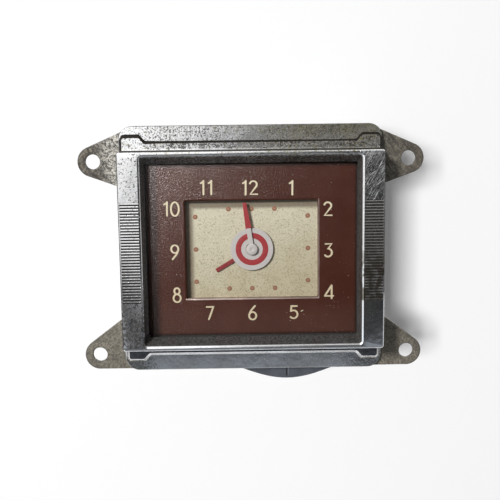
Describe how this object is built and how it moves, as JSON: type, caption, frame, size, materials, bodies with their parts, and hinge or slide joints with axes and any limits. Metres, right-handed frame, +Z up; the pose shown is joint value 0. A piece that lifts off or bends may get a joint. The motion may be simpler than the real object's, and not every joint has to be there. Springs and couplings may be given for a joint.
{
  "type": "dashboard clock",
  "caption": "Square car dashboard clock with a stepped chrome bezel, cream dial behind a brown mask, disc hour hand, eared mounting plate and rear-set movement.",
  "frame": {"origin": "middle of the four ear holes, on the front face of the ears", "axes": "+X to the right as the face is seen, +Y from the face back through the case, +Z up to twelve o'clock"},
  "size_m": [0.1112, 0.0499, 0.0839],
  "materials": {
    "bezel_chrome": "worn, pitted chrome plate on a die casting",
    "clear_glass": "clear flat glass",
    "gasket_rubber": "matt black rubber",
    "mask_paint": "matt reddish-brown paint",
    "dial_paint": "matt cream paint, lightly speckled",
    "plate_steel": "dull stained plating",
    "screw_steel": "plain steel",
    "case_steel": "dark blue-black steel",
    "cover_steel": "dull plated steel",
    "movement_brass": "lacquered brass",
    "pinion_steel": "bright steel",
    "hand_red": "satin red paint",
    "hand_white": "satin grey-white paint",
    "knob_plastic": "black moulding",
    "spring_steel": "blued spring steel",
    "soft_iron": "dark soft iron",
    "brown_insulator": "brown moulded insulator",
    "coil_copper": "enamelled copper wire"
  },
  "bodies": {
    "clock_case": {"bezel": "bezel_chrome", "lens_glass": "clear_glass", "lens_gasket": "gasket_rubber", "dial_mask": "mask_paint", "dial_plate": "dial_paint", "mounting_plate": "plate_steel", "bezel_screws": "screw_steel", "case_band": "case_steel", "back_cover": "cover_steel", "cover_screws": "screw_steel", "rear_posts": "movement_brass", "front_plate": "movement_brass", "back_plate": "movement_brass", "frame_pillars": "movement_brass", "plate_spacers": "movement_brass", "spacer_screws": "screw_steel", "balance_screws": "screw_steel", "hairspring": "spring_steel", "hairspring_stud": "pinion_steel", "magnet_core": "soft_iron", "magnet_screws": "screw_steel", "coil_bobbin": "brown_insulator", "coil_winding": "coil_copper", "drive_spring": "spring_steel", "contact_block": "brown_insulator", "contact_leaf": "movement_brass", "terminal_stud": "movement_brass", "terminal_nut": "movement_brass", "terminal_bush": "brown_insulator"},
    "minute_hand_body": {"cannon_pinion": "pinion_steel", "minute_hand": "hand_red", "hand_cap": "hand_white"},
    "hour_hand_body": {"hour_wheel": "movement_brass", "hour_disc": "hand_white", "hour_bar": "hand_red"},
    "minute_wheel_body": {"minute_wheel": "movement_brass", "minute_arbor": "pinion_steel"},
    "setting_body": {"setting_arbor": "pinion_steel", "setting_knob": "knob_plastic"},
    "centre_body": {"centre_arbor": "pinion_steel", "centre_wheel": "movement_brass", "ratchet_wheel": "pinion_steel"},
    "third_body": {"third_arbor": "pinion_steel", "third_wheel": "movement_brass"},
    "fourth_body": {"fourth_arbor": "pinion_steel", "fourth_wheel": "movement_brass"},
    "escape_body": {"escape_arbor": "pinion_steel", "escape_wheel": "movement_brass"},
    "pallet_body": {"pallet_arbor": "pinion_steel", "pallet_lever": "pinion_steel"},
    "balance_body": {"balance_staff": "pinion_steel", "balance_wheel": "movement_brass"},
    "regulator_body": {"regulator_lever": "pinion_steel"},
    "armature_body": {"armature": "soft_iron"},
    "pawl_body": {"pawl": "pinion_steel"}
  },
  "joints": [
    {"name": "minute_hand_turn", "type": "hinge", "parent": "clock_case", "child": "minute_hand_body", "pos_m": [0, 0, 0.003], "axis": [0, 1, 0], "continuous": true},
    {"name": "hour_hand_turn", "type": "hinge", "parent": "clock_case", "child": "hour_hand_body", "pos_m": [0, 0, 0.003], "axis": [0, 1, 0], "continuous": true},
    {"name": "minute_wheel_turn", "type": "hinge", "parent": "clock_case", "child": "minute_wheel_body", "pos_m": [0.00786, 0, -0.00251], "axis": [0, 1, 0], "continuous": true},
    {"name": "setting_knob_turn", "type": "hinge", "parent": "clock_case", "child": "setting_body", "pos_m": [0.01573, 0, -0.00801], "axis": [0, 1, 0], "continuous": true},
    {"name": "fourth_wheel_turn", "type": "hinge", "parent": "clock_case", "child": "fourth_body", "pos_m": [-0.00891, 0, 0.02206], "axis": [0, 1, 0], "continuous": true},
    {"name": "third_wheel_turn", "type": "hinge", "parent": "clock_case", "child": "third_body", "pos_m": [-0.01309, 0, 0.01056], "axis": [0, 1, 0], "continuous": true},
    {"name": "centre_wheel_turn", "type": "hinge", "parent": "clock_case", "child": "centre_body", "pos_m": [0, 0, 0.003], "axis": [0, 1, 0], "continuous": true},
    {"name": "escape_wheel_turn", "type": "hinge", "parent": "clock_case", "child": "escape_body", "pos_m": [0.0009, 0, 0.02068], "axis": [0, 1, 0], "continuous": true},
    {"name": "pallet_rock", "type": "hinge", "parent": "clock_case", "child": "pallet_body", "pos_m": [0.00852, 0, 0.01864], "axis": [0, 1, 0], "range_deg": [-4, 4]},
    {"name": "balance_swing", "type": "hinge", "parent": "clock_case", "child": "balance_body", "pos_m": [0.01962, 0, 0.01567], "axis": [0, 1, 0], "range_deg": [-130, 130], "stiffness_Nm_per_rad": 0.0000166},
    {"name": "regulator_shift", "type": "hinge", "parent": "clock_case", "child": "regulator_body", "pos_m": [0.01962, 0, 0.01567], "axis": [0, 1, 0], "range_deg": [-15, 15]},
    {"name": "armature_kick", "type": "hinge", "parent": "clock_case", "child": "armature_body", "pos_m": [0, 0, 0.003], "axis": [0, -1, 0], "range_deg": [0, 18], "stiffness_Nm_per_rad": 0.0011, "springref_deg": -20.05, "deforming": ["drive_spring"]},
    {"name": "pawl_lift", "type": "hinge", "parent": "armature_body", "child": "pawl_body", "pos_m": [-0.00752, 0, 0.00574], "axis": [0, -1, 0], "range_deg": [0, 8], "stiffness_Nm_per_rad": 0.00002, "springref_deg": -11.46}
  ],
  "couplings": [
    {"joint": "hour_hand_turn", "follows": "minute_hand_turn", "ratio": 0.083333},
    {"joint": "minute_wheel_turn", "follows": "minute_hand_turn", "ratio": -0.33333},
    {"joint": "setting_knob_turn", "follows": "minute_hand_turn", "ratio": 1},
    {"joint": "third_wheel_turn", "follows": "fourth_wheel_turn", "ratio": -0.13333},
    {"joint": "centre_wheel_turn", "follows": "fourth_wheel_turn", "ratio": 0.016667},
    {"joint": "escape_wheel_turn", "follows": "fourth_wheel_turn", "ratio": -10}
  ]
}
